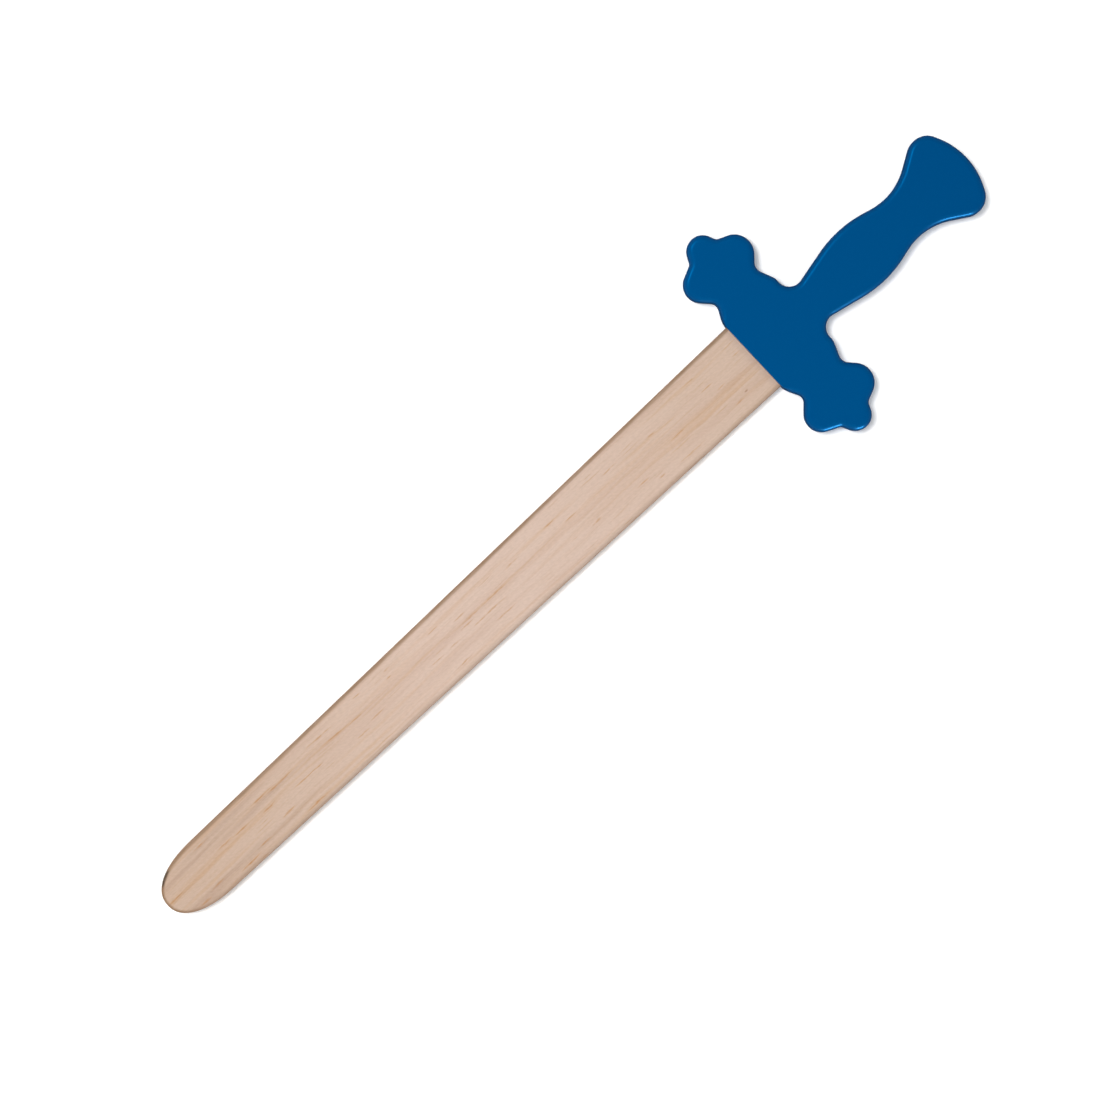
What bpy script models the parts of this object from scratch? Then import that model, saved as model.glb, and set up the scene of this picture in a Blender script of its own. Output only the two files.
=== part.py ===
"""A toy knight's sword in wood, lying flat: a pine blade held between the two halves of a painted hilt.

Run it in Blender 4.5 with: blender --background --python part.py

The sword lies along X with its tip towards -X and its pommel towards +X, its width along Y and its
thickness along Z. The world origin is under the middle of its length, on the surface it lies on.
Every piece is drawn from the guard's front face: u runs from that face towards the pommel, v runs out
from the sword's axis, and z is measured from the middle of the thickness. Lengths are in millimetres.
"""

import math

import bmesh
import bpy
from mathutils import Vector

MM = 0.001  # metres in a millimetre
TOUCHING = 0.001  # points nearer than this are on the same spot

# Whole sword
LENGTH = 600.0
HILT_LENGTH = 160.0  # guard face to pommel end
HILT_THICKNESS = 16.0
FIT_GAP = 0.3  # between pieces that meet, where the glue is

# Hilt: two halves, one each side of the glue line
HILT_ROUND_OVER = 3.5  # radius routed round the rim
ARRIS = 0.05  # share of the round-over left where the blade enters, a barely eased edge
ARRIS_RUN_OUT = 8.0  # how far beside the blade the round-over takes to reach its full size
GUARD_FACE_DEPTH = 5.0  # every part of the outline nearer the tip than this belongs to the guard's front

# Half of the hilt's outline, as a belt that runs straight from one circle to the next and bends round it:
# u and v of the circle's centre, its radius, and whether the outline bulges OUT or is hollowed IN there.
OUT, IN = -1, 1
HILT_CIRCLES = (
    (15.1, 20.8, 15.1, OUT),  # shoulder beside the blade
    (-0.3, 34.1, 4.7, IN),  # front notch of the guard
    (6.3, 48.5, 10.0, OUT),  # front lobe of the guard's end
    (7.0, 63.2, 3.0, IN),
    (19.3, 61.4, 8.8, OUT),  # outermost lobe
    (31.9, 63.7, 3.7, IN),
    (30.8, 48.2, 11.0, OUT),  # rear lobe
    (39.9, 33.7, 5.5, IN),  # rear notch
    (30.1, 21.8, 8.1, OUT),  # shoulder above the grip
    (46.0, 20.5, 7.8, IN),  # waist between guard and grip
    (80.5, -47.2, 65.8, OUT),  # swell of the grip
    (111.3, 51.0, 37.0, IN),  # waist before the pommel
    (145.0, 15.4, 11.0, OUT),  # corner of the pommel
    (118.1, 0.0, 41.9, OUT),  # end of the pommel
)
START_HEADING = math.radians(90)  # outwards along the guard face
END_HEADING = math.radians(-90)  # back across the axis at the pommel's end

# Blade: straight edges that taper towards a rounded tip
BLADE_THICKNESS = 8.0
BLADE_ROUND_OVER = 3.0
BLADE_HALF_WIDTH_AT_GUARD = 22.0
BLADE_HALF_WIDTH_AT_TIP = 17.2  # where the straight edges would meet the end of the tip
TIP_LENGTH = 33.3
TIP_FULLNESS = 2.27  # exponent of the tip's curve: 2 is an ellipse, more is blunter
BLADE_INSERT = 26.0  # depth to which the full width goes into the guard
POCKET_OVERRUN = 5.0  # how far the cutter of the blade's pocket stands out of the guard's face

# Tang: the narrow tongue that is sawn on the blade's end and runs down inside the grip
TANG_LENGTH = 90.0  # from the guard face
TANG_HALF_WIDTH = 8.0

# Dowels: blind, so that the faces stay plain
DOWEL_RADIUS = 3.0
DOWEL_LENGTH = 12.0
DOWEL_CHAMFER = 0.6
DOWEL_SIDES = 24
TANG_DOWELS = {"tang_dowel_guard": (13.0, 0.0), "tang_dowel_grip": (68.0, 0.0)}
HILT_DOWELS = {
    "arm_dowel_left": (19.0, 48.0),
    "arm_dowel_right": (19.0, -48.0),
    "pommel_dowel": (143.0, 0.0),
}

# How finely curves are cut into straight pieces
ARC_TURN = math.radians(12)
ARC_RUN = 5.0
ROUND_OVER_STEPS = 3
TIP_STEPS = 14
TIP_NUDGE = math.radians(0.5)  # either side of a point of the tip, to measure which way it faces
SHARP_ANGLE = math.radians(35)  # faces that meet at more than this shade as a crisp edge

BLUE_PAINT = {"color": (0.0, 0.078, 0.250), "roughness": 0.35}
PINE = {"color": (0.66, 0.48, 0.36), "roughness": 0.65}
BEECH = {"color": (0.58, 0.38, 0.24), "roughness": 0.7}


def clear_scene():
    for obj in list(bpy.context.scene.objects):
        bpy.data.objects.remove(obj, do_unlink=True)


def wood_material(name, color, roughness):
    material = bpy.data.materials.new(name)
    material.use_nodes = True
    shader = material.node_tree.nodes["Principled BSDF"]
    shader.inputs["Base Color"].default_value = (*color, 1.0)
    shader.inputs["Roughness"].default_value = roughness
    shader.inputs["Metallic"].default_value = 0.0
    return material


def add_object(name, mesh, parent, place=(0.0, 0.0, 0.0), turn=(0.0, 0.0, 0.0)):
    obj = bpy.data.objects.new(name, mesh)
    bpy.context.scene.collection.objects.link(obj)
    obj.parent = parent
    obj.location = Vector(place) * MM
    obj.rotation_euler = turn
    return obj


def add_cutter(name, mesh, parent, place=(0.0, 0.0, 0.0)):
    cutter = add_object(name, mesh, parent, place)
    cutter.hide_render = True
    cutter.display_type = "WIRE"
    return cutter


def cut(piece, cutter):
    modifier = piece.modifiers.new(cutter.name, "BOOLEAN")
    modifier.operation = "DIFFERENCE"
    modifier.object = cutter


def finished_mesh(name, bm):
    bmesh.ops.scale(bm, vec=(MM, MM, MM), verts=bm.verts)
    bmesh.ops.recalc_face_normals(bm, faces=bm.faces)
    mesh = bpy.data.meshes.new(name)
    bm.to_mesh(mesh)
    bm.free()
    mesh.shade_smooth()
    mesh.set_sharp_from_angle(angle=SHARP_ANGLE)
    return mesh


def slab(name, rim, levels):
    """A closed slab with one ring of points for each (height, inset) level.

    rim lists (u, v, normal u, normal v, share of the inset taken there) once round the outline.
    """
    bm = bmesh.new()
    rings = [
        [
            bm.verts.new((u - nu * inset * share, v - nv * inset * share, height))
            for u, v, nu, nv, share in rim
        ]
        for height, inset in levels
    ]
    for lower, upper in zip(rings, rings[1:]):
        for here in range(len(rim)):
            after = (here + 1) % len(rim)
            bm.faces.new((lower[here], lower[after], upper[after], upper[here]))
    bm.faces.new(rings[0])
    bm.faces.new(rings[-1])
    return finished_mesh(name, bm)


def round_over(face, radius):
    """(height, inset) levels of a quarter round, from the side wall up to a face at this height."""
    angles = [math.radians(90) * step / ROUND_OVER_STEPS for step in range(ROUND_OVER_STEPS + 1)]
    return [(face - radius * (1 - math.sin(a)), radius * (1 - math.cos(a))) for a in angles]


def rod(name, radius, length, chamfer=0.0):
    bm = bmesh.new()
    bmesh.ops.create_cone(
        bm, cap_ends=True, segments=DOWEL_SIDES, radius1=radius, radius2=radius, depth=length
    )
    if chamfer:
        end_edges = [e for e in bm.edges if abs(e.verts[0].co.z - e.verts[1].co.z) < TOUCHING]
        bmesh.ops.bevel(bm, geom=end_edges, offset=chamfer, segments=1, affect="EDGES")
    return finished_mesh(name, bm)


def belt_headings(circles):
    """The direction of the outline before each circle and after the last one."""
    headings = [START_HEADING]
    for (u1, v1, r1, bend1), (u2, v2, r2, bend2) in zip(circles, circles[1:]):
        across = math.atan2(v2 - v1, u2 - u1)
        offset = (bend2 * r2 - bend1 * r1) / math.hypot(u2 - u1, v2 - v1)
        headings.append(across - math.asin(offset))
    return headings + [END_HEADING]


def belt(circles):
    """(u, v, normal u, normal v) along the outline that bends round the circles in turn."""
    headings = belt_headings(circles)
    points = []
    for (u, v, radius, bend), before, after in zip(circles, headings, headings[1:]):
        turn = after - before
        steps = math.ceil(max(abs(turn) / ARC_TURN, abs(turn) * radius / ARC_RUN))
        for step in range(steps + 1):
            heading = before + turn * step / steps
            normal_u, normal_v = -math.sin(heading), math.cos(heading)
            points.append((u - bend * radius * normal_u, v - bend * radius * normal_v, normal_u, normal_v))
    return points


def both_sides(half):
    """The half outline, from one end of the axis to the other, followed by its mirror image."""
    ends_on_axis = abs(half[-1][1]) < TOUCHING
    back = [(u, -v, nu, -nv, share) for u, v, nu, nv, share in reversed(half)]
    return half + back[1 if ends_on_axis else 0 :]


def rim_share(u, v):
    """How much of the rim's round-over is cut here: hardly any across the face where the blade enters."""
    if u > GUARD_FACE_DEPTH:
        return 1.0
    along = (abs(v) - BLADE_HALF_WIDTH_AT_GUARD) / ARRIS_RUN_OUT
    along = min(max(along, 0.0), 1.0)
    return ARRIS + (1 - ARRIS) * along * along * (3 - 2 * along)


def hilt_half_mesh():
    """The half whose outer face is up. The other half is the same piece turned over."""
    rim = both_sides([(u, v, nu, nv, rim_share(u, v)) for u, v, nu, nv in belt(HILT_CIRCLES)])
    glue_face = (FIT_GAP / 2, 0.0)
    return slab("hilt_half", rim, [glue_face] + round_over(HILT_THICKNESS / 2, HILT_ROUND_OVER))


def blade_half_width(u):
    to_tip = LENGTH - HILT_LENGTH
    taper = (BLADE_HALF_WIDTH_AT_GUARD - BLADE_HALF_WIDTH_AT_TIP) / to_tip
    return BLADE_HALF_WIDTH_AT_TIP + taper * (u + to_tip)


def tip_point(angle):
    """A point on the blade's outline, from 0 at the very end of the tip to 90 degrees on its side."""
    along = 1 - math.cos(angle) ** (2 / TIP_FULLNESS)
    u = HILT_LENGTH - LENGTH + TIP_LENGTH * along
    return Vector((u, blade_half_width(u) * math.sin(angle) ** (2 / TIP_FULLNESS)))


def tip_normal(angle):
    low = max(angle - TIP_NUDGE, 0.0)
    high = min(angle + TIP_NUDGE, math.radians(90))
    run = (tip_point(high) - tip_point(low)).normalized()
    return Vector((-run.y, run.x))


def blade_end(grow=0.0):
    """Half the outline of the blade inside the hilt: its square tang, then a shoulder out to full width."""
    shoulder = BLADE_INSERT + grow
    return [
        (TANG_LENGTH + grow, TANG_HALF_WIDTH + grow, 0.0, 1.0, 0.0),
        (shoulder, TANG_HALF_WIDTH + grow, 0.0, 1.0, 0.0),
        (shoulder, blade_half_width(shoulder) + grow, 0.0, 1.0, 1.0),
    ]


def blade_rim():
    half = blade_end()
    for step in range(TIP_STEPS, 0, -1):
        angle = math.radians(90) * step / TIP_STEPS
        point, normal = tip_point(angle), tip_normal(angle)
        half.append((point.x, point.y, normal.x, normal.y, 1.0))
    half.append((HILT_LENGTH - LENGTH, 0.0, -1.0, 0.0, 1.0))
    return both_sides(half)


def pocket_rim():
    """The outline of the space that holds the blade's end, open at the guard's face."""
    mouth = -POCKET_OVERRUN
    half = blade_end(FIT_GAP) + [(mouth, blade_half_width(mouth) + FIT_GAP, 0.0, 1.0, 1.0)]
    return both_sides(half)


def lath(name, rim, thickness):
    """A slab with both its faces rounded over along the rim."""
    upper = round_over(thickness / 2, BLADE_ROUND_OVER)
    lower = [(-height, inset) for height, inset in reversed(upper)]
    return slab(name, rim, lower + upper)


def add_blade(parent):
    blade = add_object("blade", lath("blade", blade_rim(), BLADE_THICKNESS), parent)
    blade.data.materials.append(wood_material("pine", **PINE))
    return blade


def add_hilt_halves(parent):
    mesh = hilt_half_mesh()
    mesh.materials.append(wood_material("blue_paint", **BLUE_PAINT))
    front = add_object("hilt_front", mesh, parent)
    back = add_object("hilt_back", mesh, parent, turn=(math.pi, 0.0, 0.0))
    return [front, back]


def add_pocket(halves, parent):
    """The space for the blade's end, half of it in each half of the hilt."""
    mesh = lath("blade_pocket", pocket_rim(), BLADE_THICKNESS + 2 * FIT_GAP)
    pocket = add_cutter("blade_pocket", mesh, parent)
    for half in halves:
        cut(half, pocket)


def add_dowels(blade, halves, parent):
    """Each dowel with its hole: the ones on the tang go through the blade, the others only pin the halves."""
    beech = wood_material("beech", **BEECH)
    for name, (u, v) in (TANG_DOWELS | HILT_DOWELS).items():
        dowel = add_object(name, rod(name, DOWEL_RADIUS, DOWEL_LENGTH, DOWEL_CHAMFER), parent, (u, v, 0.0))
        dowel.data.materials.append(beech)
        hole_mesh = rod(f"{name}_hole", DOWEL_RADIUS + FIT_GAP, DOWEL_LENGTH + 2 * FIT_GAP)
        hole = add_cutter(f"{name}_hole", hole_mesh, parent, (u, v, 0.0))
        for piece in halves + ([blade] if name in TANG_DOWELS else []):
            cut(piece, hole)


def build_sword():
    clear_scene()
    sword = add_object("sword", None, None, (LENGTH / 2 - HILT_LENGTH, 0.0, HILT_THICKNESS / 2))
    blade = add_blade(sword)
    halves = add_hilt_halves(sword)
    add_pocket(halves, sword)
    add_dowels(blade, halves, sword)


build_sword()
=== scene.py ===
"""The looks of a toy knight's sword in wood: a pine blade and a hilt painted blue, lying on a pale floor.

The sword's pieces are drawn as in the CAD source: u runs from the guard's front face towards the pommel,
v runs out from the sword's axis, both in millimetres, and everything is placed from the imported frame's box.
"""
import math

import bmesh
import bpy
from mathutils import Matrix, Vector, noise


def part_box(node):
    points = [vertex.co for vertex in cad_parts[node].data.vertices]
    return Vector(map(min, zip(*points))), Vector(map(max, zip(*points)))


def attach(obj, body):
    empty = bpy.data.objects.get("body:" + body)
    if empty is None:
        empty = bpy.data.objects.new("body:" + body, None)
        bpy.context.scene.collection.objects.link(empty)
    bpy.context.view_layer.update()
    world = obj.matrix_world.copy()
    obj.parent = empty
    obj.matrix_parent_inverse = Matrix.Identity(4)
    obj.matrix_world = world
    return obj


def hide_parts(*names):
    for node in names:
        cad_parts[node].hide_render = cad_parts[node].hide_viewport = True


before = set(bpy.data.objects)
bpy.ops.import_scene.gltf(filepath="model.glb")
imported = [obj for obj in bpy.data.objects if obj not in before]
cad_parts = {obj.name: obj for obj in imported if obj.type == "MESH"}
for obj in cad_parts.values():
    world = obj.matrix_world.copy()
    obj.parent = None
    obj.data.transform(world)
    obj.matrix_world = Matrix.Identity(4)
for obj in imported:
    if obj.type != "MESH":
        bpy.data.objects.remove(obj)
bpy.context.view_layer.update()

MM = 0.001  # metres in a millimetre
TOUCHING = 0.001  # points nearer than this, in millimetres, are on the same spot

# The shape, as in the CAD source, in millimetres
LENGTH = 600.0
HILT_LENGTH = 160.0
HILT_ROUND_OVER = 3.5
ARRIS = 0.05
ARRIS_RUN_OUT = 8.0
GUARD_FACE_DEPTH = 5.0
OUT, IN = -1, 1
HILT_CIRCLES = (
    (15.1, 20.8, 15.1, OUT),  # shoulder beside the blade
    (-0.3, 34.1, 4.7, IN),  # front notch of the guard
    (6.3, 48.5, 10.0, OUT),  # front lobe of the guard's end
    (7.0, 63.2, 3.0, IN),
    (19.3, 61.4, 8.8, OUT),  # outermost lobe
    (31.9, 63.7, 3.7, IN),
    (30.8, 48.2, 11.0, OUT),  # rear lobe
    (39.9, 33.7, 5.5, IN),  # rear notch
    (30.1, 21.8, 8.1, OUT),  # shoulder above the grip
    (46.0, 20.5, 7.8, IN),  # waist between guard and grip
    (80.5, -47.2, 65.8, OUT),  # swell of the grip
    (111.3, 51.0, 37.0, IN),  # waist before the pommel
    (145.0, 15.4, 11.0, OUT),  # corner of the pommel
    (118.1, 0.0, 41.9, OUT),  # end of the pommel
)
START_HEADING = math.radians(90)
END_HEADING = math.radians(-90)
BLADE_ROUND_OVER = 3.0
BLADE_HALF_WIDTH_AT_GUARD = 22.0
BLADE_HALF_WIDTH_AT_TIP = 17.2
TIP_LENGTH = 33.3
TIP_FULLNESS = 2.27
BLADE_INSERT = 26.0
TANG_LENGTH = 90.0
TANG_HALF_WIDTH = 8.0
DOWEL_RADIUS = 3.0
DOWEL_LENGTH = 12.0
TANG_DOWELS = {"tang_dowel_guard": (13.0, 0.0), "tang_dowel_grip": (68.0, 0.0)}
HILT_DOWELS = {
    "arm_dowel_left": (19.0, 48.0),
    "arm_dowel_right": (19.0, -48.0),
    "pommel_dowel": (143.0, 0.0),
}

# How finely the visible surfaces are cut
ARC_TURN = math.radians(3)
ARC_RUN = 2.0
ROUND_OVER_STEPS = 9
LIP_STEPS = 3
TIP_STEPS = 60
TIP_NUDGE = math.radians(0.5)  # either side of a point of the tip, to measure which way it faces
HOLE_SIDES = 32
EDGE_RUN = 4.0  # between points along the blade's straight edges
FACE_MARGIN = 0.6  # ring of flat face beside a round-over, so that the face shades flat
SHARP_ANGLE = math.radians(35)  # faces that meet at more than this shade as a crisp edge

# The grain of the pine
RING_SLANT = math.radians(35)
MARK_HALF_WIDTH = 0.62
MARK_HALF_DEPTH = 3.0
MARK_TAPER = 1.2  # a mark has faded out at its length divided by this from its middle
MARK_CORE = 0.15  # share of that way before it starts to fade
GRAIN_MARKS = (  # the darkest dashes on the front face: x and y of the middle, and the length
    (-264, 13, 9), (-222, 8.5, 14), (-209, 7.2, 16), (-294, 1.2, 9), (-254, 3.8, 9), (-242, 2.8, 8),
    (-222, 1.5, 8), (-196, -1.3, 14), (-216, -8.2, 8), (-272, -10, 9), (-237, -11.2, 6), (-283, -12.2, 7),
    (-250, -13.9, 13), (-242, -16.6, 6), (-200, -15.6, 14), (-146, 13.9, 5), (-124, 12.9, 4),
    (-175, 10.6, 18), (-169, 5.5, 16), (-155, 4.9, 9), (-126, 8.8, 3), (-189, -1.3, 9), (-144, -2.1, 9),
    (-157, -4.5, 8),
    (-100, -3.8, 8), (-87, -3.6, 6), (-90, -15, 11), (-91, 10.9, 7), (-75, 5.7, 7), (-71, 1.3, 12),
    (-52, 1.6, 16), (-75, -0.7, 8), (-68, -4.3, 8), (-58, -4, 16), (-55, -10.4, 12), (-34, 7.4, 9),
    (-4, 9.3, 7), (7, 3.8, 7), (16, -7.3, 6), (40, 8, 10), (69.5, 6.4, 5), (110, 5.5, 7),
    (116, 0.6, 5), (134, 8.2, 5), (81, -2.8, 9), (49, -9.3, 8), (59, -13.2, 4), (80, -14.6, 16),
    (118, -12.2, 5),
)
PIN_KNOT = (124.5, -10.8, 2.0)
PIN_KNOT_HALF_WIDTH = 0.75
PIN_KNOT_HALF_DEPTH = 2.0
TAN_BANDS = (  # broader soft streaks, given in the same way
    (-268, 0.6, 76), (-270, -6.8, 60), (-212, 7.6, 60), (-165, 5.2, 70), (-118, 3.0, 60),
    (-165, -12.6, 60), (-50, 1.8, 70), (-190, -15.8, 90), (-12, 9.0, 50), (66, 5.6, 40), (98, -3.0, 60),
    (110, -6.2, 60), (100, 13.6, 50),
)
TAN_HALF_WIDTH = 1.5
ROSE_BANDS = (
    (-266, 9.2, 60), (-225, 6.2, 50), (-262, -10.2, 80), (-225, -11.4, 70), (-285, -12.5, 40),
    (-250, 12.5, 60),
)
ROSE_HALF_WIDTH = 2.4
BLUSH_BANDS = ((-135, 4.0, 90), (-62, 1.5, 110), (-90, -9.0, 80))
BLUSH_HALF_WIDTH = 4.2
SCORCH = (-290.0, 11.0)  # the middle of a dark stretch of the rim
SCORCH_REACH = 9.0
SCORCH_CORE = 2.7

# How much darker the blade's edges are: the browning that sanding left, and painted shade where the
# round-overs turn from the light, most on the left edge
LEFT_EDGE_SHADE_AND_WEAR = 0.80
LEFT_EDGE_FADE = 0.12  # lost with each millimetre in from the outline
LEFT_EDGE_BORDER = (0.95, 0.5)  # where the band ends and where it is still full, as shares of the round-over
RIGHT_EDGE_TONE = 0.62
RIGHT_EDGE_FALL = 1.5
TIP_RIM_TONE = 1.0
TIP_RIM_BORDER = (0.8, 0.15)  # as for the left edge
END_GRAIN_FACING = 0.9  # how squarely the outline faces along the blade where the tip's rim is full

# What shows of the joints
GLUE_LINE = 0.10  # between the halves of the hilt
GLUE_LIP = 0.35  # how far the painted edge rolls into the glue line
BLADE_FIT = 0.12  # between the blade and its pocket
HAND_SANDING = 0.10  # how much the width of the blade's round-over wanders
HAND_SANDING_RUN = 23.0  # and over what length
HOLE_FIT = 0.05  # round a dowel
HOLE_OVERRUN = 0.3  # more length than the dowel
POCKET_OVERRUN = 5.0

# The camera looks straight down, with the sword's axis this far above the picture's horizontal
SWORD_ANGLE = math.radians(43.13)
PICTURE = (1095, 1097)
PICTURE_SCALE = 0.5488 * MM  # metres of the sword across one pixel of the picture
CAMERA_HEIGHT = 3.0
LOOK_AT = (-0.0141, 0.0006)  # the point of the sword's plane in the middle of the picture

hilt_low, hilt_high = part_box("hilt_back")[0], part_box("hilt_front")[1]
MIDDLE_Z = (hilt_low.z + hilt_high.z) / 2 / MM
HILT_THICKNESS = (hilt_high.z - hilt_low.z) / MM
BLADE_THICKNESS = (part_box("blade")[1].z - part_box("blade")[0].z) / MM
FACE_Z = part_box("blade")[1].z / MM
GUARD_X = hilt_high.x / MM - HILT_LENGTH
TIP_X = hilt_high.x / MM - LENGTH


# ---------------------------------------------------------------- outlines


def belt_headings(circles):
    """The direction of the outline before each circle and after the last one."""
    headings = [START_HEADING]
    for (u1, v1, r1, bend1), (u2, v2, r2, bend2) in zip(circles, circles[1:]):
        across = math.atan2(v2 - v1, u2 - u1)
        offset = (bend2 * r2 - bend1 * r1) / math.hypot(u2 - u1, v2 - v1)
        headings.append(across - math.asin(offset))
    return headings + [END_HEADING]


def belt(circles):
    """(u, v, normal u, normal v) along the outline that bends round the circles in turn."""
    headings = belt_headings(circles)
    points = []
    for (u, v, radius, bend), before, after in zip(circles, headings, headings[1:]):
        turn = after - before
        steps = math.ceil(max(abs(turn) / ARC_TURN, abs(turn) * radius / ARC_RUN))
        for step in range(steps + 1):
            heading = before + turn * step / steps
            normal_u, normal_v = -math.sin(heading), math.cos(heading)
            points.append((u - bend * radius * normal_u, v - bend * radius * normal_v, normal_u, normal_v))
    return points


def both_sides(half):
    """The half outline, from one end of the axis to the other, followed by its mirror image."""
    ends_on_axis = abs(half[-1][1]) < TOUCHING
    back = [(u, -v, nu, -nv, share) for u, v, nu, nv, share in reversed(half)]
    return half + back[1 if ends_on_axis else 0 :]


def rim_share(u, v):
    """How much of the rim's round-over is cut here: hardly any across the face where the blade enters."""
    if u > GUARD_FACE_DEPTH:
        return 1.0
    along = (abs(v) - BLADE_HALF_WIDTH_AT_GUARD) / ARRIS_RUN_OUT
    along = min(max(along, 0.0), 1.0)
    return ARRIS + (1 - ARRIS) * along * along * (3 - 2 * along)


def hilt_rim():
    return both_sides([(u, v, nu, nv, rim_share(u, v)) for u, v, nu, nv in belt(HILT_CIRCLES)])


def blade_half_width(u):
    to_tip = LENGTH - HILT_LENGTH
    taper = (BLADE_HALF_WIDTH_AT_GUARD - BLADE_HALF_WIDTH_AT_TIP) / to_tip
    return BLADE_HALF_WIDTH_AT_TIP + taper * (u + to_tip)


def tip_point(angle):
    """A point on the blade's outline, from 0 at the very end of the tip to 90 degrees on its side."""
    along = 1 - math.cos(angle) ** (2 / TIP_FULLNESS)
    u = HILT_LENGTH - LENGTH + TIP_LENGTH * along
    return Vector((u, blade_half_width(u) * math.sin(angle) ** (2 / TIP_FULLNESS)))


def tip_normal(angle):
    low = max(angle - TIP_NUDGE, 0.0)
    high = min(angle + TIP_NUDGE, math.radians(90))
    run = (tip_point(high) - tip_point(low)).normalized()
    return Vector((-run.y, run.x))


def blade_end(grow=0.0):
    """Half the outline of the blade inside the hilt: its square tang, then a shoulder out to full width."""
    shoulder = BLADE_INSERT + grow
    return [
        (TANG_LENGTH + grow, TANG_HALF_WIDTH + grow, 0.0, 1.0, 0.0),
        (shoulder, TANG_HALF_WIDTH + grow, 0.0, 1.0, 0.0),
        (shoulder, blade_half_width(shoulder) + grow, 0.0, 1.0, 1.0),
    ]


def sanded(u, v):
    """How wide hand sanding has left the round-over here, as a share of its plain width."""
    return 1 + HAND_SANDING * noise.noise(Vector((u / HAND_SANDING_RUN, v / HAND_SANDING_RUN, 0.0)))


def blade_rim():
    half = blade_end()
    tip_side = HILT_LENGTH - LENGTH + TIP_LENGTH
    u = BLADE_INSERT - EDGE_RUN
    while u > tip_side + EDGE_RUN / 2:
        half.append((u, blade_half_width(u), 0.0, 1.0, 1.0))
        u -= EDGE_RUN
    for step in range(TIP_STEPS, 0, -1):
        angle = math.radians(90) * step / TIP_STEPS
        point, normal = tip_point(angle), tip_normal(angle)
        half.append((point.x, point.y, normal.x, normal.y, 1.0))
    half.append((HILT_LENGTH - LENGTH, 0.0, -1.0, 0.0, 1.0))
    return [(u, v, nu, nv, share * sanded(u, v)) for u, v, nu, nv, share in both_sides(half)]


def pocket_rim():
    """The outline of the space that holds the blade's end, open at the guard's face."""
    mouth = -POCKET_OVERRUN
    half = blade_end(BLADE_FIT) + [(mouth, blade_half_width(mouth) + BLADE_FIT, 0.0, 1.0, 1.0)]
    return both_sides(half)


# ---------------------------------------------------------------- meshes


def round_over(face, radius, steps=ROUND_OVER_STEPS):
    """(height, inset) levels of a quarter round, from the side wall up to a face at this height."""
    angles = [math.radians(90) * step / steps for step in range(steps + 1)]
    return [(face - radius * (1 - math.sin(a)), radius * (1 - math.cos(a))) for a in angles]


def smooth_step(value, low, high):
    """0 where the value is low, 1 where it is high, and a smooth rise between."""
    share = min(max((value - low) / (high - low), 0.0), 1.0)
    return share * share * (3 - 2 * share)


def blade_edge_wear_and_shade(nu, nv, inset):
    """How much darker the blade is this far in from its outline, where the outline faces this way.

    The left edge has a dark band with a crisp inner border, the right edge is darkest at its outline, and
    the end grain at the tip has a narrow dark rim. The darkening is partly the browning of sanded wood and
    partly painted shade where the round-over turns away from the light, the left edge's band most of all.
    """
    if nv > 0:
        side = LEFT_EDGE_SHADE_AND_WEAR * (1 - LEFT_EDGE_FADE * inset)
        side *= smooth_step(inset / BLADE_ROUND_OVER, *LEFT_EDGE_BORDER)
    else:
        side = RIGHT_EDGE_TONE * (1 - inset / (BLADE_ROUND_OVER + FACE_MARGIN)) ** RIGHT_EDGE_FALL
    rim = TIP_RIM_TONE * smooth_step(inset / BLADE_ROUND_OVER, *TIP_RIM_BORDER)
    return side + (rim - side) * smooth_step(abs(nu), 0.0, END_GRAIN_FACING)


def slab(name, rim, levels, edge_wear_and_shade=None):
    """A closed slab with one ring of points for each (height, inset) level.

    rim lists (u, v, normal u, normal v, share of the inset taken there) once round the outline. The darkening
    that the edge function gives, browning from sanding and painted shade, is kept in the mesh as an attribute
    for the material.
    """
    bm = bmesh.new()
    tone = bm.verts.layers.float.new("edge_wear_and_shade") if edge_wear_and_shade else None
    rings = []
    for height, inset in levels:
        ring = []
        for u, v, nu, nv, share in rim:
            place = Vector((u - nu * inset * share, v - nv * inset * share, height)) * MM
            vert = bm.verts.new(place)
            if edge_wear_and_shade:
                vert[tone] = edge_wear_and_shade(nu, nv, inset)
            ring.append(vert)
        rings.append(ring)
    for lower, upper in zip(rings, rings[1:]):
        for here in range(len(rim)):
            after = (here + 1) % len(rim)
            bm.faces.new((lower[here], lower[after], upper[after], upper[here]))
    bm.faces.new(rings[0])
    bm.faces.new(rings[-1])
    bmesh.ops.recalc_face_normals(bm, faces=bm.faces)
    mesh = bpy.data.meshes.new(name)
    bm.to_mesh(mesh)
    bm.free()
    return mesh


def lath(name, rim, thickness):
    """A slab with both its faces rounded over along the rim."""
    upper = round_over(thickness / 2, BLADE_ROUND_OVER)
    upper.append((thickness / 2, BLADE_ROUND_OVER + FACE_MARGIN))
    lower = [(-height, inset) for height, inset in reversed(upper)]
    return slab(name, rim, lower + upper, blade_edge_wear_and_shade)


def hilt_half_mesh(name):
    """The half whose outer face is up, with a lip that rolls into the glue line."""
    lip_top = GLUE_LINE / 2 + GLUE_LIP
    lip = [(lip_top - height, inset) for height, inset in reversed(round_over(GLUE_LIP, GLUE_LIP, LIP_STEPS))]
    face = HILT_THICKNESS / 2
    levels = lip + round_over(face, HILT_ROUND_OVER) + [(face, HILT_ROUND_OVER + FACE_MARGIN)]
    return slab(name, hilt_rim(), levels)


def hole_mesh(name):
    """The cutter for a dowel's hole."""
    radius = (DOWEL_RADIUS + HOLE_FIT) * MM
    length = (DOWEL_LENGTH + HOLE_OVERRUN) * MM
    bm = bmesh.new()
    bmesh.ops.create_cone(
        bm, cap_ends=True, segments=HOLE_SIDES, radius1=radius, radius2=radius, depth=length
    )
    mesh = bpy.data.meshes.new(name)
    bm.to_mesh(mesh)
    bm.free()
    return mesh


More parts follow.
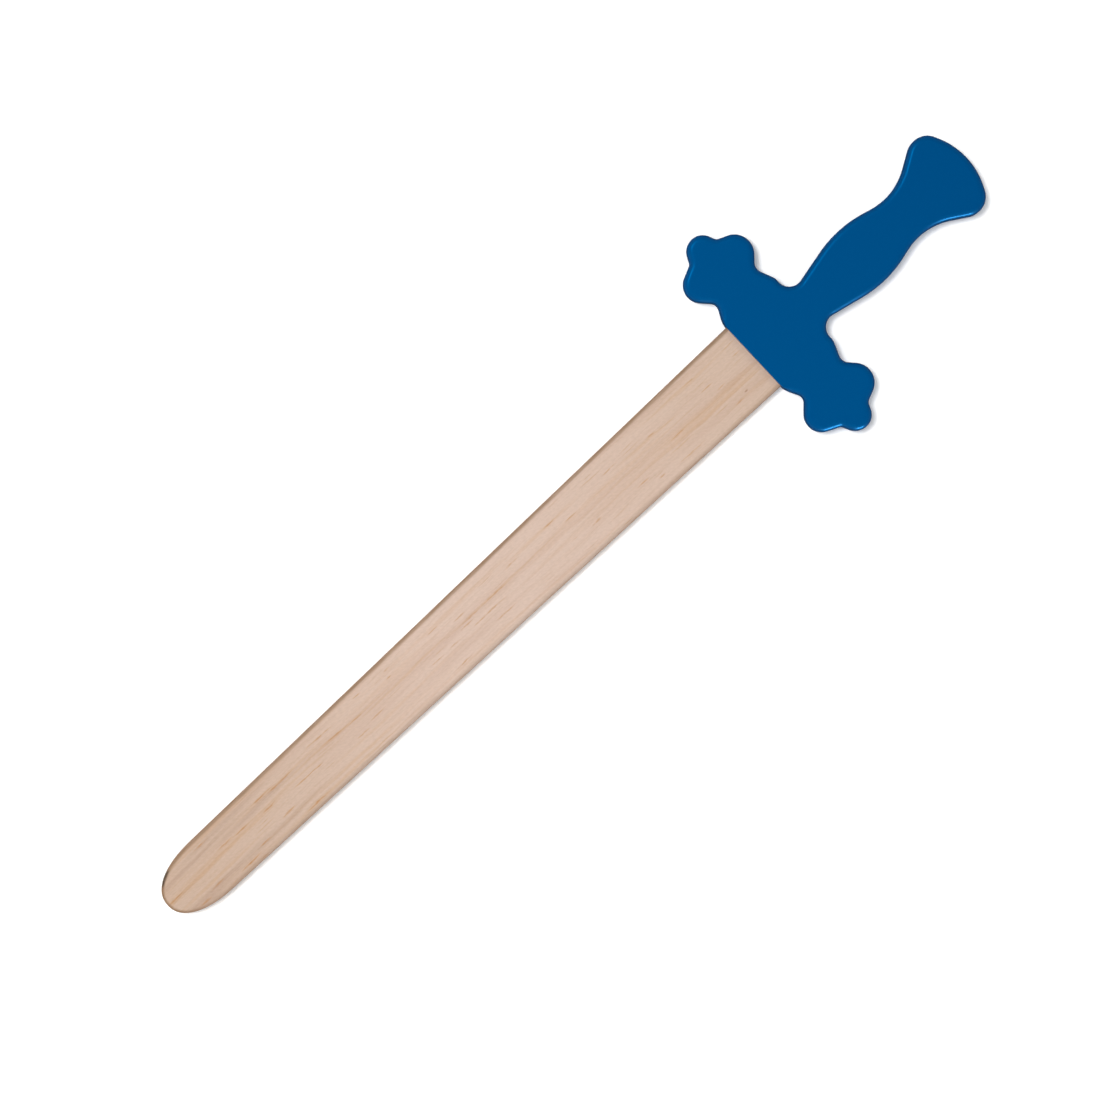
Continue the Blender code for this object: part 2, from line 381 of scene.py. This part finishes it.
def add_object(name, mesh, u=0.0, v=0.0, turn_over=False):
    obj = bpy.data.objects.new(name, mesh)
    bpy.context.scene.collection.objects.link(obj)
    obj.location = Vector((GUARD_X + u, v, MIDDLE_Z)) * MM
    if turn_over:
        obj.rotation_euler.x = math.pi
    return obj


def cut(piece, cutters):
    """Takes the cutters away from the piece for good."""
    for cutter in cutters:
        modifier = piece.modifiers.new(cutter.name, "BOOLEAN")
        modifier.operation = "DIFFERENCE"
        modifier.object = cutter
    settle(piece)


def settle(piece):
    """Applies the piece's modifiers and its place, so that its mesh lies in the row frame, and shades it."""
    bpy.context.view_layer.update()
    evaluated = piece.evaluated_get(bpy.context.evaluated_depsgraph_get())
    mesh = bpy.data.meshes.new_from_object(evaluated)
    mesh.transform(piece.matrix_world)
    piece.modifiers.clear()
    piece.data = mesh
    piece.matrix_world = Matrix.Identity(4)
    mesh.shade_smooth()
    mesh.set_sharp_from_angle(angle=SHARP_ANGLE)


def finish_piece(piece, node, material):
    """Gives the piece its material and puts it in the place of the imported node."""
    piece.data.materials.clear()
    piece.data.materials.append(material)
    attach(piece, "root")
    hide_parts(node)


# ---------------------------------------------------------------- materials


def colour(red, green, blue):
    return (red, green, blue, 1.0)


NOISE_LOW, NOISE_HIGH = 0.3, 0.7  # what the values of a noise mostly lie between

# The pine's tones from the tip to the guard, each at its share of the way, and the shades that tint them
PINE_TONES = (
    (0.0, colour(0.605, 0.445, 0.346)),
    (0.2, colour(0.630, 0.471, 0.376)),
    (0.45, colour(0.695, 0.532, 0.446)),
    (0.7, colour(0.675, 0.515, 0.429)),
    (1.0, colour(0.618, 0.464, 0.369)),
)
BAND_TINT = colour(0.970, 0.925, 0.865)
PINK_TINT = colour(0.955, 0.930, 0.915)
TAN_TINT = colour(0.970, 0.920, 0.850)
ROSE_TINT = colour(0.900, 0.885, 0.880)
BLUSH_TINT = colour(0.950, 0.930, 0.920)
THREAD_TINT = colour(0.930, 0.898, 0.852)
RIPPLE_TINT = colour(0.925, 0.920, 0.910)

# What covers the pine's own colour, painted shade among it, and how strongly
FAINT_BROWN, FAINT_STRENGTH = colour(0.500, 0.275, 0.120), 0.42
RESIN_BROWN = colour(0.500, 0.235, 0.070)
DASHES_AT_TIP, DASHES_BEYOND = 0.76, 0.54
DASHES_CHANGE = (-200.0, -160.0)  # the stretch of x where the resin marks grow weaker
KNOT_BROWN, KNOT_STRENGTH = colour(0.280, 0.130, 0.050), 0.55
# painted shadow that the guard casts on the blade's last few millimetres, with a pinker tint of the wood
# there
GUARD_TINT_AND_SHADOW, GUARD_TINT_AND_SHADOW_STRENGTH = colour(0.400, 0.270, 0.220), 0.30
GUARD_TINT_AND_SHADOW_RUN = 5.0  # the last stretch of the blade before the guard
SANDED_AND_SHADED_BROWN = colour(0.285, 0.170, 0.092)
SCORCH_BLACK, SCORCH_STRENGTH = colour(0.085, 0.062, 0.045), 0.80

# Sizes of the patterns in the wood, in millimetres along, across and through it
DRIFT_SIZE, DRIFT_REACH = (120.0, 80.0, 80.0), 1.5
WAVER_SIZE, WAVER_REACH = (16.0, 6.0, 9.0), 0.3
BAND_SIZE = (170.0, 3.0, 8.0)
PINK_SIZE = (110.0, 6.0, 14.0)
THREAD_SIZE = (26.0, 0.8, 1.6)
FRAY_SIZE, FRAY_REACH = (5.0, 0.5, 1.0), 0.25
UNEVEN_SIZE = (4.0, 1.0, 2.0)
FAINT_CELL = (26.0, 1.3, 9.0)
DASH_CELL = (19.0, 1.2, 7.0)
RIPPLE_SIZE = (2.2, 1.0, 1.0)
RIPPLE_SLANT = math.radians(20)
STREAK_SIZE = (14.0, 0.9, 0.9)
RAY_SIZE = (0.6, 0.6, 6.0)
FLECK_CORE = 0.2  # share of a fleck's reach before it starts to fade
FAINTEST_FLECK = 0.3
THREAD_RELIEF = 0.6  # against that of the ripple
PINE_SHINE = 0.08

# The paint, and the beech
PAINT_AT_GUARD = colour(0.0, 0.0715, 0.231)
PAINT_AT_POMMEL = colour(0.0, 0.0640, 0.211)
SPECKLE_BLUE, SPECKLE_STRENGTH = colour(0.0, 0.045, 0.160), 0.12
SPECKLE_SIZE = 1.2
PEEL_SIZE = 1.8
PAINT_IOR = 1.6
PAINT_SHINE = colour(0.0, 0.50, 1.0)
BEECH_LIGHT = colour(0.60, 0.40, 0.26)
BEECH_DARK = colour(0.44, 0.26, 0.15)


class Graph:
    """A material's nodes, written as nested calls."""

    def __init__(self, name):
        self.material = bpy.data.materials.new(name)
        self.material.use_nodes = True
        self.nodes = self.material.node_tree.nodes
        self.links = self.material.node_tree.links
        self.shader = self.nodes["Principled BSDF"]

    def feed(self, socket, value):
        if isinstance(value, bpy.types.NodeSocket):
            self.links.new(value, socket)
        else:
            socket.default_value = value

    def node(self, kind, inputs, output=0, **settings):
        made = self.nodes.new(kind)
        for setting, value in settings.items():
            setattr(made, setting, value)
        for key, value in inputs.items():
            self.feed(made.inputs[key], value)
        return made.outputs[output]

    def split(self, value):
        """The three channels of a vector or a colour."""
        made = self.nodes.new("ShaderNodeSeparateXYZ")
        self.feed(made.inputs[0], value)
        return made.outputs[0], made.outputs[1], made.outputs[2]

    def turned(self, place, axis, angle):
        """The place turned about one of the axes, for a pattern that runs askew."""
        inputs = {"Vector": place, "Angle": angle}
        return self.node("ShaderNodeVectorRotate", inputs, rotation_type=f"{axis}_AXIS")

    def shifted(self, place, distance):
        """The place moved by this distance across the blade."""
        shift = self.node("ShaderNodeCombineXYZ", {"Y": distance})
        return self.node("ShaderNodeVectorMath", {0: place, 1: shift}, operation="ADD")

    def math(self, operation, a, b=0.0):
        return self.node("ShaderNodeMath", {0: a, 1: b}, operation=operation)

    def millimetres(self):
        place = self.node("ShaderNodeTexCoord", {}, "Object")
        return self.node("ShaderNodeVectorMath", {0: place, "Scale": 1 / MM}, operation="SCALE")

    def stretched(self, place, lengths):
        """The place counted in these lengths along x, y and z, so that a pattern of size 1 takes them."""
        counts = tuple(1 / length for length in lengths)
        return self.node("ShaderNodeVectorMath", {0: place, 1: counts}, operation="MULTIPLY")

    def noise(self, place, lengths, detail=2.0, roughness=0.5):
        inputs = {
            "Vector": self.stretched(place, lengths),
            "Scale": 1.0,
            "Detail": detail,
            "Roughness": roughness,
        }
        return self.node("ShaderNodeTexNoise", inputs, "Fac")

    def remap(self, value, low, high, to_low=0.0, to_high=1.0, smooth=False):
        inputs = {"Value": value, 1: low, 2: high, 3: to_low, 4: to_high}
        kind = "SMOOTHSTEP" if smooth else "LINEAR"
        return self.node("ShaderNodeMapRange", inputs, interpolation_type=kind, clamp=True)

    def spread(self, pattern, to_low, to_high):
        """The values that a noise mostly has, spread over this range."""
        return self.remap(pattern, NOISE_LOW, NOISE_HIGH, to_low, to_high)

    def ramp(self, share, tones):
        """The colour at this share of the way through the tones, which are given with their own shares."""
        made = self.nodes.new("ShaderNodeValToRGB")
        self.feed(made.inputs["Fac"], share)
        elements = made.color_ramp.elements
        elements[0].color, elements[1].color = tones[0][1], tones[-1][1]
        for position, tone in tones[1:-1]:
            elements.new(position).color = tone
        return made.outputs["Color"]

    def tint(self, share, wood, shade):
        """The wood multiplied by this shade, by this share."""
        return self.mix(share, wood, shade, "MULTIPLY")

    def mix(self, share, a, b, blend="MIX"):
        """Colour a turned into b, or blended with it, by this share."""
        made = self.nodes.new("ShaderNodeMix")
        made.data_type = "RGBA"
        made.blend_type = blend
        self.feed(made.inputs[0], share)
        self.feed(made.inputs[6], a)
        self.feed(made.inputs[7], b)
        return made.outputs[2]

    def attribute(self, name):
        return self.node("ShaderNodeAttribute", {}, "Fac", attribute_name=name)

    def bump(self, height, distance, strength=1.0):
        inputs = {"Height": height, "Distance": distance * MM, "Strength": strength}
        return self.node("ShaderNodeBump", inputs)


def flecks(graph, place, lengths, share, low, high):
    """Dark dashes along the grain, one in a share of the cells of these lengths, with ends that fade out.

    low and high are the smallest and largest reach of a dash, as shares of its cell.
    """
    cell = graph.nodes.new("ShaderNodeTexVoronoi")
    graph.feed(cell.inputs["Vector"], graph.stretched(place, lengths))
    graph.feed(cell.inputs["Scale"], 1.0)
    chance, size, depth = graph.split(cell.outputs["Color"])
    inside = graph.math("DIVIDE", cell.outputs["Distance"], graph.remap(size, 0.0, 1.0, low, high))
    fade = graph.remap(inside, FLECK_CORE, 1.0, 1.0, 0.0, smooth=True)
    strength = graph.math("MULTIPLY", fade, graph.remap(depth, 0.0, 1.0, FAINTEST_FLECK, 1.0))
    return graph.math("MULTIPLY", strength, graph.math("LESS_THAN", chance, share))


def marks(graph, place, chosen, half_width, half_depth):
    """The chosen marks: 1 along the middle of each, fading out towards its rim."""
    nearest = None
    for x, y, length in chosen:
        counts = (MARK_TAPER / length, 1 / half_width, 1 / half_depth)
        shift = (-x * counts[0], -y * counts[1], -FACE_Z * counts[2])
        local = graph.node("ShaderNodeVectorMath", {0: place, 1: counts, 2: shift}, operation="MULTIPLY_ADD")
        distance = graph.node("ShaderNodeVectorMath", {0: local}, 1, operation="LENGTH")
        nearest = graph.math("MINIMUM", nearest, distance) if nearest else distance
    return graph.remap(nearest, MARK_CORE, 1.0, 1.0, 0.0, smooth=True)


def grown_wood(graph, place, moved, grain, threads):
    """The pine's own colour: its tone along the blade, its bands, and its fibres."""
    along = graph.remap(graph.split(place)[0], TIP_X, GUARD_X)
    wood = graph.ramp(along, PINE_TONES)
    bands = graph.noise(grain, BAND_SIZE, detail=2.0)
    wood = graph.tint(graph.remap(bands, 0.50, 0.70, smooth=True), wood, BAND_TINT)
    pink = graph.noise(grain, PINK_SIZE, detail=1.0)
    wood = graph.tint(graph.remap(pink, 0.50, 0.72, smooth=True), wood, PINK_TINT)
    for chosen, half_width, shade in (
        (TAN_BANDS, TAN_HALF_WIDTH, TAN_TINT),
        (ROSE_BANDS, ROSE_HALF_WIDTH, ROSE_TINT),
        (BLUSH_BANDS, BLUSH_HALF_WIDTH, BLUSH_TINT),
    ):
        wood = graph.tint(marks(graph, moved, chosen, half_width, MARK_HALF_DEPTH), wood, shade)
    return graph.tint(graph.remap(threads, 0.48, 0.76), wood, THREAD_TINT)


def resin_marks(graph, wood, place, moved, grain):
    """Adds the short resin marks, with frayed ends and uneven strength, and the pin knot."""
    fray = graph.noise(place, FRAY_SIZE, detail=3.0)
    frayed = graph.shifted(moved, graph.spread(fray, -FRAY_REACH, FRAY_REACH))
    uneven = graph.remap(graph.noise(place, UNEVEN_SIZE, detail=2.0), 0.32, 0.60, 0.35, 1.0)
    faint = flecks(graph, grain, FAINT_CELL, share=0.20, low=0.18, high=0.45)
    wood = graph.mix(graph.math("MULTIPLY", faint, FAINT_STRENGTH), wood, FAINT_BROWN)
    chosen = marks(graph, frayed, GRAIN_MARKS, MARK_HALF_WIDTH, MARK_HALF_DEPTH)
    others = flecks(graph, grain, DASH_CELL, share=0.04, low=0.16, high=0.40)
    dashes = graph.math("MULTIPLY", graph.math("MAXIMUM", chosen, others), uneven)
    strength = graph.remap(graph.split(place)[0], *DASHES_CHANGE, DASHES_AT_TIP, DASHES_BEYOND)
    wood = graph.mix(graph.math("MULTIPLY", dashes, strength), wood, RESIN_BROWN)
    knot = marks(graph, place, (PIN_KNOT,), PIN_KNOT_HALF_WIDTH, PIN_KNOT_HALF_DEPTH)
    return graph.mix(graph.math("MULTIPLY", knot, KNOT_STRENGTH), wood, KNOT_BROWN)


def sanded_and_shaded_edges(graph, wood, place):
    """Makes the edges darker and browner, from sanding and as painted shade, with a scorched stretch by the
    tip.
    """
    streak = graph.noise(place, STREAK_SIZE, detail=2.0)
    edge = graph.math("MULTIPLY", graph.attribute("edge_wear_and_shade"), graph.spread(streak, 0.8, 1.2))
    # painted shade and the browning of sanded wood along the edges
    wood = graph.mix(edge, wood, SANDED_AND_SHADED_BROWN)
    away = graph.node("ShaderNodeVectorMath", {0: place, 1: (*SCORCH, FACE_Z)}, 1, operation="DISTANCE")
    near = graph.remap(away, SCORCH_CORE, SCORCH_REACH, 1.0, 0.0, smooth=True)
    scorch = graph.remap(graph.math("MULTIPLY", near, edge), 0.30, 0.80, 0.0, SCORCH_STRENGTH, smooth=True)
    return graph.mix(scorch, wood, SCORCH_BLACK)


def pine_material():
    graph = Graph("pine")
    place = graph.millimetres()

    # The grain wanders a little along the blade, and the growth rings slant through its thickness.
    drift = graph.noise(place, DRIFT_SIZE, detail=1.0)
    waver = graph.noise(place, WAVER_SIZE, detail=1.0)
    wander = graph.math(
        "ADD",
        graph.spread(drift, -DRIFT_REACH, DRIFT_REACH),
        graph.spread(waver, -WAVER_REACH, WAVER_REACH),
    )
    moved = graph.shifted(place, wander)
    grain = graph.turned(moved, "X", RING_SLANT)
    threads = graph.noise(grain, THREAD_SIZE, detail=3.0, roughness=0.6)

    wood = grown_wood(graph, place, moved, grain, threads)
    wood = resin_marks(graph, wood, place, moved, grain)
    ripple = graph.noise(graph.turned(place, "Z", RIPPLE_SLANT), RIPPLE_SIZE, detail=3.0)
    wood = graph.tint(graph.remap(ripple, 0.32, 0.68), wood, RIPPLE_TINT)
    # Painted shadow of the guard on the blade's last stretch before it, with a pinker tint of the wood there
    guard_tint_and_shadow = graph.remap(
        graph.split(place)[0], GUARD_X - GUARD_TINT_AND_SHADOW_RUN, GUARD_X, 0.0, GUARD_TINT_AND_SHADOW_STRENGTH, smooth=True
    )
    wood = graph.mix(guard_tint_and_shadow, wood, GUARD_TINT_AND_SHADOW)
    # The edges darken and brown: wear from sanding, and painted shade where the round-overs turn from the
    # light
    wood = sanded_and_shaded_edges(graph, wood, place)

    graph.feed(graph.shader.inputs["Base Color"], wood)
    graph.feed(graph.shader.inputs["Roughness"], graph.remap(threads, 0.3, 0.8, 0.58, 0.74))
    relief = graph.math("ADD", ripple, graph.math("MULTIPLY", threads, THREAD_RELIEF))
    graph.feed(graph.shader.inputs["Normal"], graph.bump(relief, distance=0.10, strength=0.6))
    graph.shader.inputs["Specular IOR Level"].default_value = PINE_SHINE
    return graph.material


def paint_material():
    graph = Graph("blue_paint")
    place = graph.millimetres()
    along = graph.remap(graph.split(place)[0], GUARD_X, GUARD_X + HILT_LENGTH)
    coat = graph.mix(along, PAINT_AT_GUARD, PAINT_AT_POMMEL)
    speckle = graph.noise(place, (SPECKLE_SIZE,) * 3, detail=2.0)
    coat = graph.mix(graph.spread(speckle, 0.0, SPECKLE_STRENGTH), coat, SPECKLE_BLUE)
    graph.feed(graph.shader.inputs["Base Color"], coat)
    graph.feed(graph.shader.inputs["Roughness"], graph.spread(speckle, 0.29, 0.35))
    peel = graph.noise(place, (PEEL_SIZE,) * 3, detail=2.0)
    graph.feed(graph.shader.inputs["Normal"], graph.bump(peel, distance=0.05, strength=0.35))
    graph.shader.inputs["IOR"].default_value = PAINT_IOR
    graph.shader.inputs["Specular Tint"].default_value = PAINT_SHINE
    return graph.material


def beech_material():
    graph = Graph("beech")
    rays = graph.noise(graph.millimetres(), RAY_SIZE, detail=3.0)
    wood = graph.mix(graph.remap(rays, 0.35, 0.7), BEECH_LIGHT, BEECH_DARK)
    graph.feed(graph.shader.inputs["Base Color"], wood)
    graph.feed(graph.shader.inputs["Roughness"], graph.spread(rays, 0.6, 0.75))
    graph.feed(graph.shader.inputs["Normal"], graph.bump(rays, distance=0.05, strength=0.4))
    return graph.material


# ---------------------------------------------------------------- the sword


def build_sword():
    cutters = {
        name: add_object(f"hole_{name}", hole_mesh(name), u, v)
        for name, (u, v) in (TANG_DOWELS | HILT_DOWELS).items()
    }
    pocket = add_object("pocket", lath("pocket", pocket_rim(), BLADE_THICKNESS + 2 * BLADE_FIT))

    pine, paint, beech = pine_material(), paint_material(), beech_material()
    for node, turn_over in (("hilt_front", False), ("hilt_back", True)):
        half = add_object(f"{node}_painted", hilt_half_mesh(node), turn_over=turn_over)
        cut(half, [pocket, *cutters.values()])
        finish_piece(half, node, paint)

    blade = add_object("blade_sanded", lath("blade", blade_rim(), BLADE_THICKNESS))
    cut(blade, [cutters[name] for name in TANG_DOWELS])
    finish_piece(blade, "blade", pine)

    for name in TANG_DOWELS | HILT_DOWELS:
        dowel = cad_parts[name]
        dowel.data.materials.clear()
        dowel.data.materials.append(beech)

    for cutter in (pocket, *cutters.values()):
        bpy.data.objects.remove(cutter, do_unlink=True)


# ---------------------------------------------------------------- the studio

WORLD_IN_FRONT = 0.6
WORLD_BEHIND = 0.25
WORLD_OVERHEAD = 0.23
WORLD_BELOW = 0.03  # what the floor gives back to the paint's shine
WORLD_COLOUR = colour(0.985, 0.995, 1.015)
HORIZON_TOP = 0.45  # the height, as the sine of the elevation, where the overhead takes over
HORIZON_FOOT = -0.05
WHITE, BLACK = colour(1.0, 1.0, 1.0), colour(0.0, 0.0, 0.0)
FLOOR_WHITE = colour(0.95, 0.95, 0.95)
FLOOR_GLOW = 0.15
FLOOR_HALF_SIZE = 30.0  # metres, like the backdrop's
BACKDROP_RADIUS = 25.0
BACKDROP_HEIGHT = 16.0
BACKDROP_SIDES = 64
SUN_WHITE = (1.0, 0.99, 0.97)
WINDOW_BLUE = (0.35, 0.75, 1.0)  # of the two windows mirrored in the paint

# The picture's right and up, in the row frame
RIGHT = Vector((math.cos(SWORD_ANGLE), -math.sin(SWORD_ANGLE), 0.0))
UP = Vector((math.sin(SWORD_ANGLE), math.cos(SWORD_ANGLE), 0.0))


def towards(bearing, elevation):
    """A direction from the sword: bearing is counted anticlockwise from the picture's right, in degrees."""
    b, e = math.radians(bearing), math.radians(elevation)
    return (RIGHT * math.cos(b) + UP * math.sin(b)) * math.cos(e) + Vector((0, 0, math.sin(e)))


def add_light(name, kind, bearing, elevation, power, distance=1.2, **settings):
    """A light that shines on the sword from this direction, and this many metres away."""
    data = bpy.data.lights.new(name, kind)
    data.energy = power
    for setting, value in settings.items():
        setattr(data, setting, value)
    lamp = bpy.data.objects.new(name, data)
    bpy.context.scene.collection.objects.link(lamp)
    direction = towards(bearing, elevation)
    lamp.location = direction * distance
    lamp.rotation_euler = direction.to_track_quat("Z", "Y").to_euler()
    return lamp


def add_stage(name, bm, shade, glow):
    """A matt piece of the surroundings, which gives off some light of its own."""
    mesh = bpy.data.meshes.new(name)
    bm.to_mesh(mesh)
    bm.free()
    piece = bpy.data.objects.new(name, mesh)
    bpy.context.scene.collection.objects.link(piece)
    graph = Graph(name)
    graph.shader.inputs["Base Color"].default_value = shade
    graph.shader.inputs["Roughness"].default_value = 0.9
    graph.shader.inputs["Specular IOR Level"].default_value = 0.0
    graph.shader.inputs["Emission Color"].default_value = WHITE
    graph.shader.inputs["Emission Strength"].default_value = glow
    mesh.materials.append(graph.material)
    piece.visible_glossy = False
    return piece


def add_floor():
    bm = bmesh.new()
    bmesh.ops.create_grid(bm, x_segments=1, y_segments=1, size=FLOOR_HALF_SIZE)
    add_stage("floor", bm, FLOOR_WHITE, FLOOR_GLOW)


def add_backdrop():
    """A far white wall all round, so that the floor has no edge in low views. Only the camera sees it."""
    bm = bmesh.new()
    bmesh.ops.create_cone(
        bm, segments=BACKDROP_SIDES, radius1=BACKDROP_RADIUS, radius2=BACKDROP_RADIUS, depth=BACKDROP_HEIGHT
    )
    backdrop = add_stage("backdrop", bm, BLACK, 1.0)
    backdrop.visible_diffuse = False
    backdrop.visible_shadow = False


def add_world():
    """A pale room: brightest along the horizon in front of the sword, dimmer overhead and behind."""
    world = bpy.data.worlds.new("studio")
    world.use_nodes = True
    nodes, links = world.node_tree.nodes, world.node_tree.links

    def remap(value, low, high, to_low, to_high):
        made = nodes.new("ShaderNodeMapRange")
        made.interpolation_type = "SMOOTHSTEP"
        for key, number in enumerate((value, low, high, to_low, to_high)):
            if isinstance(number, bpy.types.NodeSocket):
                links.new(number, made.inputs[key])
            else:
                made.inputs[key].default_value = number
        return made.outputs[0]

    place = nodes.new("ShaderNodeTexCoord").outputs["Generated"]
    height = nodes.new("ShaderNodeSeparateXYZ")
    links.new(place, height.inputs[0])
    frontness = nodes.new("ShaderNodeVectorMath")
    frontness.operation = "DOT_PRODUCT"
    links.new(place, frontness.inputs[0])
    frontness.inputs[1].default_value = -UP
    horizon = remap(frontness.outputs["Value"], -1.0, 1.0, WORLD_BEHIND, WORLD_IN_FRONT)
    above = remap(height.outputs["Z"], 0.0, HORIZON_TOP, horizon, WORLD_OVERHEAD)
    strength = remap(height.outputs["Z"], HORIZON_FOOT, 0.0, WORLD_BELOW, above)
    links.new(strength, nodes["Background"].inputs["Strength"])
    nodes["Background"].inputs["Color"].default_value = WORLD_COLOUR
    bpy.context.scene.world = world


def add_suns():
    """The key light that throws the shadow, and a fill. The paint doesn't mirror them."""
    key = add_light(
        "key", "SUN", bearing=163, elevation=76, power=2.12, angle=math.radians(14), color=SUN_WHITE
    )
    fill = add_light(
        "fill", "SUN", bearing=-80, elevation=50, power=0.80, angle=math.radians(30), use_shadow=False
    )
    for sun in (key, fill):
        sun.visible_glossy = False


def add_windows():
    """Two lights that are only seen mirrored, for the highlights on the paint."""
    front = add_light(
        "front_box", "AREA", bearing=-58, elevation=8, power=8.6, distance=0.75,
        shape="RECTANGLE", size=0.37, size_y=0.18, color=WINDOW_BLUE,
    )
    strip = add_light(
        "left_strip", "AREA", bearing=133, elevation=57, power=4.5,
        shape="RECTANGLE", size=0.4, size_y=0.12, color=WINDOW_BLUE,
    )
    for window in (front, strip):
        window.visible_diffuse = False


def add_studio():
    add_floor()
    add_backdrop()
    add_world()
    add_suns()
    add_windows()
    bpy.context.scene.view_settings.view_transform = "Standard"


def add_camera():
    """Looks straight down, with a lens that takes in the whole picture at its scale."""
    data = bpy.data.cameras.new("camera")
    camera = bpy.data.objects.new("camera", data)
    bpy.context.scene.collection.objects.link(camera)
    data.sensor_width = 36.0
    data.lens = data.sensor_width * CAMERA_HEIGHT / (max(PICTURE) * PICTURE_SCALE)
    camera.location = (*LOOK_AT, MIDDLE_Z * MM + CAMERA_HEIGHT)
    camera.rotation_euler = (0.0, 0.0, -SWORD_ANGLE)
    data.clip_end = 100.0
    bpy.context.scene.camera = camera


build_sword()
add_studio()
add_camera()

bpy.context.view_layer.update()
